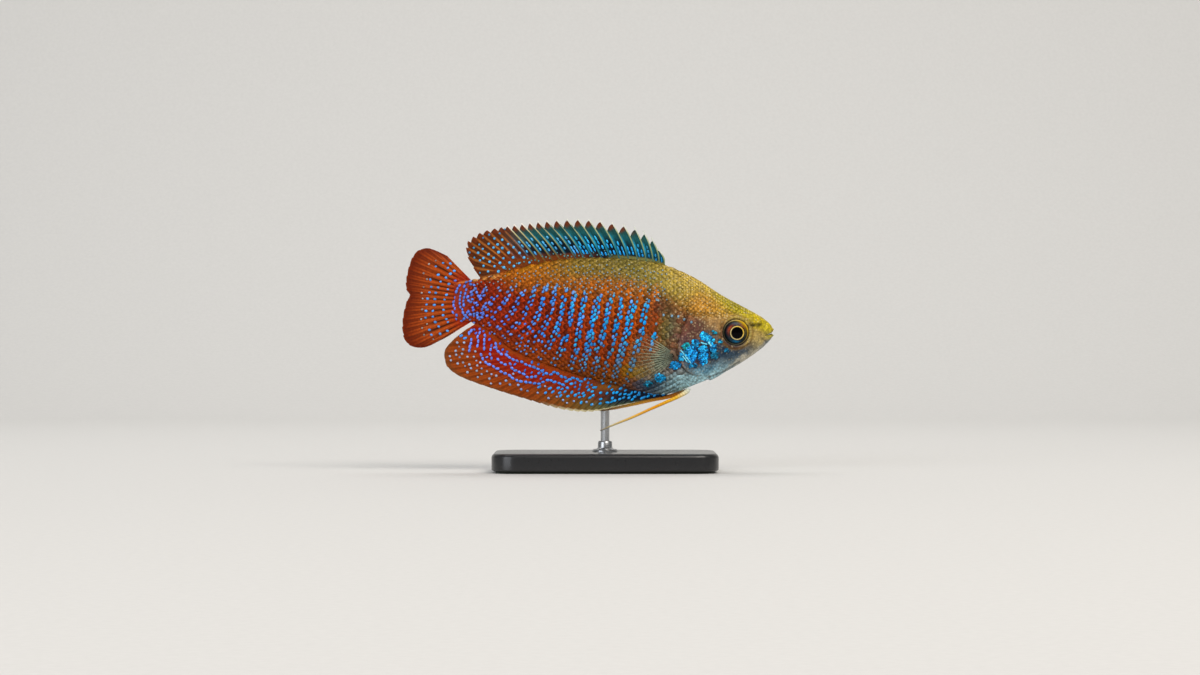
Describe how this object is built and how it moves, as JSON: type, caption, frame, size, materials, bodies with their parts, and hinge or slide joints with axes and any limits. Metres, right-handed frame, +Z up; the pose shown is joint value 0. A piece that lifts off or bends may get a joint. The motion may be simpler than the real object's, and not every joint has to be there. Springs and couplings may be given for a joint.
{
  "type": "dwarf gourami",
  "caption": "Life-size male dwarf gourami in a swimming pose, with spread fins and long pelvic feelers, held by one short rod on a flat base.",
  "frame": {"origin": "on the floor plane that the stand's base rests on, under the middle of the fish's length and on its middle plane", "axes": "+X from the tail towards the snout, +Y to the fish's left side, +Z up"},
  "size_m": [0.076, 0.028, 0.0515],
  "materials": {
    "head_skin": "wet fish skin, olive above, blue on the cheek",
    "flank_skin": "wet scaled fish skin, red-orange with rows of blue spots",
    "stalk_skin": "wet scaled fish skin, deep red with rows of blue spots",
    "eye": "clear, glossy cornea over a dark red and blue iris",
    "dorsal_membrane": "thin satin fin skin, teal with orange-brown behind",
    "anal_membrane": "thin satin fin skin, red with blue lines",
    "caudal_membrane": "thin satin fin skin, orange-red with rows of blue spots",
    "pectoral_membrane": "nearly clear fin skin with pale rays",
    "feeler": "satin, orange-yellow with a pale tip",
    "base_lacquer": "satin black lacquer",
    "rod_steel": "fine satin"
  },
  "bodies": {
    "root": {"head": "head_skin", "body": "flank_skin", "tail_stalk": "stalk_skin", "eye_l": "eye", "eye_r": "eye", "dorsal_fin": "dorsal_membrane", "anal_fin": "anal_membrane", "caudal_fin": "caudal_membrane", "pectoral_fin_l": "pectoral_membrane", "pectoral_fin_r": "pectoral_membrane", "pelvic_feeler_l": "feeler", "pelvic_feeler_r": "feeler", "stand_base": "base_lacquer", "stand_rod": "rod_steel"}
  },
  "joints": []
}
